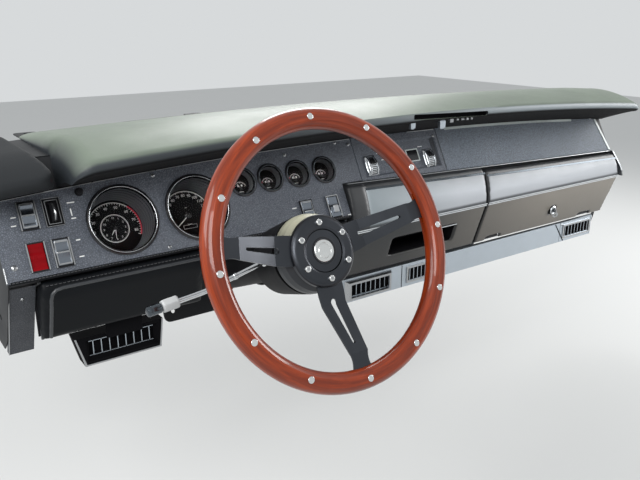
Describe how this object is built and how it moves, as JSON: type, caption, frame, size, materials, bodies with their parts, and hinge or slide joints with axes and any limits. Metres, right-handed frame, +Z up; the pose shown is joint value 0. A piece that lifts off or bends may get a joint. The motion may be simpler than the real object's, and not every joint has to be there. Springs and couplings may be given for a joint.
{
  "type": "car dashboard with steering wheel",
  "caption": "Car dashboard with padded top, round gauges, glovebox and a raked steering column carrying a wood-rim, slotted-spoke steering wheel.",
  "frame": {"origin": "midway between the two outer cowl screws, on top of the steel top sheet", "axes": "+X to the passenger's side, +Y to the front of the car, +Z up"},
  "size_m": [1.4815, 0.7473, 0.4347],
  "materials": {
    "steel": "satin",
    "pad_vinyl": "satin",
    "panel": "grained",
    "gauge_black": "matte",
    "gauge_ring": "gloss",
    "lens": "clear",
    "chrome": "polished",
    "lamp_red": "gloss",
    "satin_aluminium": "satin",
    "column_black": "gloss",
    "spoke_black": "satin black",
    "rim_wood": "gloss lacquer",
    "rivet_bright": "polished"
  },
  "bodies": {
    "dash": {"face_sheet": "steel", "top_sheet": "steel", "frame_shelves": "steel", "frame_web": "steel", "end_plates": "steel", "dash_pad": "pad_vinyl", "pad_cap": "pad_vinyl", "cluster_bezel": "panel", "large_gauges": "gauge_black", "small_gauges": "gauge_black", "gauge_rings": "gauge_ring", "gauge_lenses": "lens", "switch_housings": "gauge_black", "rocker_caps": "chrome", "dimmer_wheel": "gauge_black", "brake_lamp": "lamp_red", "heater_panel": "panel", "heater_thumbs": "chrome", "passenger_panel": "panel", "panel_trims": "chrome", "centre_roll": "pad_vinyl", "roll_trims": "chrome", "end_cheek": "panel", "cheek_trim": "chrome", "cubby": "gauge_black", "knee_pads": "pad_vinyl", "end_block": "panel", "lower_band": "satin_aluminium", "vent_frames": "chrome", "vent_slats": "gauge_black", "driver_vent": "gauge_black", "glovebox_bin": "gauge_black", "door_hinges": "steel", "column_jacket": "column_black", "column_bearings": "steel", "signal_housing": "column_black", "signal_lever": "chrome", "column_bracket": "steel", "toe_plate": "steel"},
    "steering": {"wheel_spokes": "spoke_black", "wheel_rim": "rim_wood", "rim_rivets": "rivet_bright", "hub_ring": "spoke_black", "hub_bolts": "rivet_bright", "horn_button": "spoke_black", "hub_adapter": "column_black", "steering_shaft": "steel"},
    "glovebox": {"glovebox_door": "pad_vinyl", "door_trims": "chrome", "door_back": "steel", "glovebox_lock": "chrome"}
  },
  "joints": [
    {"name": "steering_turn", "type": "hinge", "parent": "dash", "child": "steering", "pos_m": [-0.363, -0.6, -0.09], "axis": [0, -0.9205, 0.3907], "continuous": true},
    {"name": "glovebox_hinge", "type": "hinge", "parent": "dash", "child": "glovebox", "pos_m": [0.48, -0.28, -0.283], "axis": [1, 0, 0], "range_deg": [0, 72]}
  ]
}
